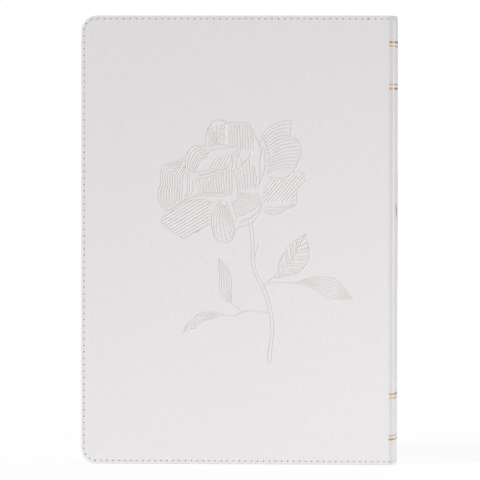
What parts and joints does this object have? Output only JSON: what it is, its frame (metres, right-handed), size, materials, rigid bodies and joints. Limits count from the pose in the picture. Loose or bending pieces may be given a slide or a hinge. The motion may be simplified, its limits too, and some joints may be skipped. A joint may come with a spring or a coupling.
{
  "type": "bound bible",
  "caption": "Upright case-bound bible in white faux leather: two hinged covers, rounded spine, stitched edges, and a text block of leaves that turn with each cover.",
  "frame": {"origin": "middle of the bounding box, on the plane of the tail edges that the book stands on", "axes": "+X from the fore edge to the spine, +Y from the back cover to the front cover, +Z from tail to head"},
  "size_m": [0.165, 0.04, 0.234],
  "materials": {
    "faux_leather": "satin",
    "board": "matte",
    "endpaper": "matte",
    "thread": "matte",
    "paper": "matte",
    "mull": "matte",
    "kraft": "matte",
    "band": "matte",
    "ribbon": "satin"
  },
  "bodies": {
    "spine": {"spine_skin": "faux_leather", "spine_inlay": "board", "spine_head_stitching": "thread", "spine_tail_stitching": "thread", "mull": "mull", "spine_liner": "kraft", "headband": "band", "tailband": "band", "ribbon_marker": "ribbon", "signature_09": "paper", "signature_10": "paper"},
    "front_cover": {"front_cover_skin": "faux_leather", "front_cover_board": "board", "front_pastedown": "endpaper", "front_cover_stitching": "thread"},
    "back_cover": {"back_cover_skin": "faux_leather", "back_cover_board": "board", "back_pastedown": "endpaper", "back_cover_stitching": "thread"},
    "front_leaves_1": {"signature_08": "paper"},
    "front_leaves_2": {"signature_07": "paper"},
    "front_leaves_3": {"signature_06": "paper"},
    "front_leaves_4": {"signature_05": "paper"},
    "front_leaves_5": {"signature_04": "paper"},
    "front_leaves_6": {"signature_03": "paper"},
    "front_leaves_7": {"signature_02": "paper"},
    "front_leaves_8": {"signature_01": "paper"},
    "front_flyleaf": {"front_flyleaf": "endpaper"},
    "back_leaves_1": {"signature_11": "paper"},
    "back_leaves_2": {"signature_12": "paper"},
    "back_leaves_3": {"signature_13": "paper"},
    "back_leaves_4": {"signature_14": "paper"},
    "back_leaves_5": {"signature_15": "paper"},
    "back_leaves_6": {"signature_16": "paper"},
    "back_leaves_7": {"signature_17": "paper"},
    "back_leaves_8": {"signature_18": "paper"},
    "back_flyleaf": {"back_flyleaf": "endpaper"}
  },
  "joints": [
    {"name": "front_cover_hinge", "type": "hinge", "parent": "spine", "child": "front_cover", "pos_m": [0.0775, 0.02, 0.117], "axis": [0, 0, -1], "range_deg": [0, 180]},
    {"name": "front_leaves_1_turn", "type": "hinge", "parent": "spine", "child": "front_leaves_1", "pos_m": [0.0754, 0.0167, 0.117], "axis": [0, 0, -1], "range_deg": [0, 13]},
    {"name": "front_leaves_2_turn", "type": "hinge", "parent": "spine", "child": "front_leaves_2", "pos_m": [0.0754, 0.0167, 0.117], "axis": [0, 0, -1], "range_deg": [0, 26]},
    {"name": "front_leaves_3_turn", "type": "hinge", "parent": "spine", "child": "front_leaves_3", "pos_m": [0.0754, 0.0167, 0.117], "axis": [0, 0, -1], "range_deg": [0, 39]},
    {"name": "front_leaves_4_turn", "type": "hinge", "parent": "spine", "child": "front_leaves_4", "pos_m": [0.0754, 0.0167, 0.117], "axis": [0, 0, -1], "range_deg": [0, 52]},
    {"name": "front_leaves_5_turn", "type": "hinge", "parent": "spine", "child": "front_leaves_5", "pos_m": [0.0754, 0.0167, 0.117], "axis": [0, 0, -1], "range_deg": [0, 65]},
    {"name": "front_leaves_6_turn", "type": "hinge", "parent": "spine", "child": "front_leaves_6", "pos_m": [0.0754, 0.0167, 0.117], "axis": [0, 0, -1], "range_deg": [0, 78]},
    {"name": "front_leaves_7_turn", "type": "hinge", "parent": "spine", "child": "front_leaves_7", "pos_m": [0.0754, 0.0167, 0.117], "axis": [0, 0, -1], "range_deg": [0, 91]},
    {"name": "front_leaves_8_turn", "type": "hinge", "parent": "spine", "child": "front_leaves_8", "pos_m": [0.0754, 0.0167, 0.117], "axis": [0, 0, -1], "range_deg": [0, 104]},
    {"name": "front_flyleaf_turn", "type": "hinge", "parent": "spine", "child": "front_flyleaf", "pos_m": [0.0754, 0.0167, 0.117], "axis": [0, 0, -1], "range_deg": [0, 112]},
    {"name": "back_cover_hinge", "type": "hinge", "parent": "spine", "child": "back_cover", "pos_m": [0.0775, -0.02, 0.117], "axis": [0, 0, 1], "range_deg": [0, 180]},
    {"name": "back_leaves_1_turn", "type": "hinge", "parent": "spine", "child": "back_leaves_1", "pos_m": [0.0754, -0.0167, 0.117], "axis": [0, 0, 1], "range_deg": [0, 13]},
    {"name": "back_leaves_2_turn", "type": "hinge", "parent": "spine", "child": "back_leaves_2", "pos_m": [0.0754, -0.0167, 0.117], "axis": [0, 0, 1], "range_deg": [0, 26]},
    {"name": "back_leaves_3_turn", "type": "hinge", "parent": "spine", "child": "back_leaves_3", "pos_m": [0.0754, -0.0167, 0.117], "axis": [0, 0, 1], "range_deg": [0, 39]},
    {"name": "back_leaves_4_turn", "type": "hinge", "parent": "spine", "child": "back_leaves_4", "pos_m": [0.0754, -0.0167, 0.117], "axis": [0, 0, 1], "range_deg": [0, 52]},
    {"name": "back_leaves_5_turn", "type": "hinge", "parent": "spine", "child": "back_leaves_5", "pos_m": [0.0754, -0.0167, 0.117], "axis": [0, 0, 1], "range_deg": [0, 65]},
    {"name": "back_leaves_6_turn", "type": "hinge", "parent": "spine", "child": "back_leaves_6", "pos_m": [0.0754, -0.0167, 0.117], "axis": [0, 0, 1], "range_deg": [0, 78]},
    {"name": "back_leaves_7_turn", "type": "hinge", "parent": "spine", "child": "back_leaves_7", "pos_m": [0.0754, -0.0167, 0.117], "axis": [0, 0, 1], "range_deg": [0, 91]},
    {"name": "back_leaves_8_turn", "type": "hinge", "parent": "spine", "child": "back_leaves_8", "pos_m": [0.0754, -0.0167, 0.117], "axis": [0, 0, 1], "range_deg": [0, 104]},
    {"name": "back_flyleaf_turn", "type": "hinge", "parent": "spine", "child": "back_flyleaf", "pos_m": [0.0754, -0.0167, 0.117], "axis": [0, 0, 1], "range_deg": [0, 112]}
  ],
  "couplings": [
    {"joint": "front_leaves_1_turn", "follows": "front_cover_hinge", "ratio": 0.072221},
    {"joint": "front_leaves_2_turn", "follows": "front_cover_hinge", "ratio": 0.14444},
    {"joint": "front_leaves_3_turn", "follows": "front_cover_hinge", "ratio": 0.21667},
    {"joint": "front_leaves_4_turn", "follows": "front_cover_hinge", "ratio": 0.28889},
    {"joint": "front_leaves_5_turn", "follows": "front_cover_hinge", "ratio": 0.36111},
    {"joint": "front_leaves_6_turn", "follows": "front_cover_hinge", "ratio": 0.43333},
    {"joint": "front_leaves_7_turn", "follows": "front_cover_hinge", "ratio": 0.50555},
    {"joint": "front_leaves_8_turn", "follows": "front_cover_hinge", "ratio": 0.57778},
    {"joint": "front_flyleaf_turn", "follows": "front_cover_hinge", "ratio": 0.622},
    {"joint": "back_leaves_1_turn", "follows": "back_cover_hinge", "ratio": 0.072221},
    {"joint": "back_leaves_2_turn", "follows": "back_cover_hinge", "ratio": 0.14444},
    {"joint": "back_leaves_3_turn", "follows": "back_cover_hinge", "ratio": 0.21667},
    {"joint": "back_leaves_4_turn", "follows": "back_cover_hinge", "ratio": 0.28889},
    {"joint": "back_leaves_5_turn", "follows": "back_cover_hinge", "ratio": 0.36111},
    {"joint": "back_leaves_6_turn", "follows": "back_cover_hinge", "ratio": 0.43333},
    {"joint": "back_leaves_7_turn", "follows": "back_cover_hinge", "ratio": 0.50555},
    {"joint": "back_leaves_8_turn", "follows": "back_cover_hinge", "ratio": 0.57778},
    {"joint": "back_flyleaf_turn", "follows": "back_cover_hinge", "ratio": 0.622}
  ]
}
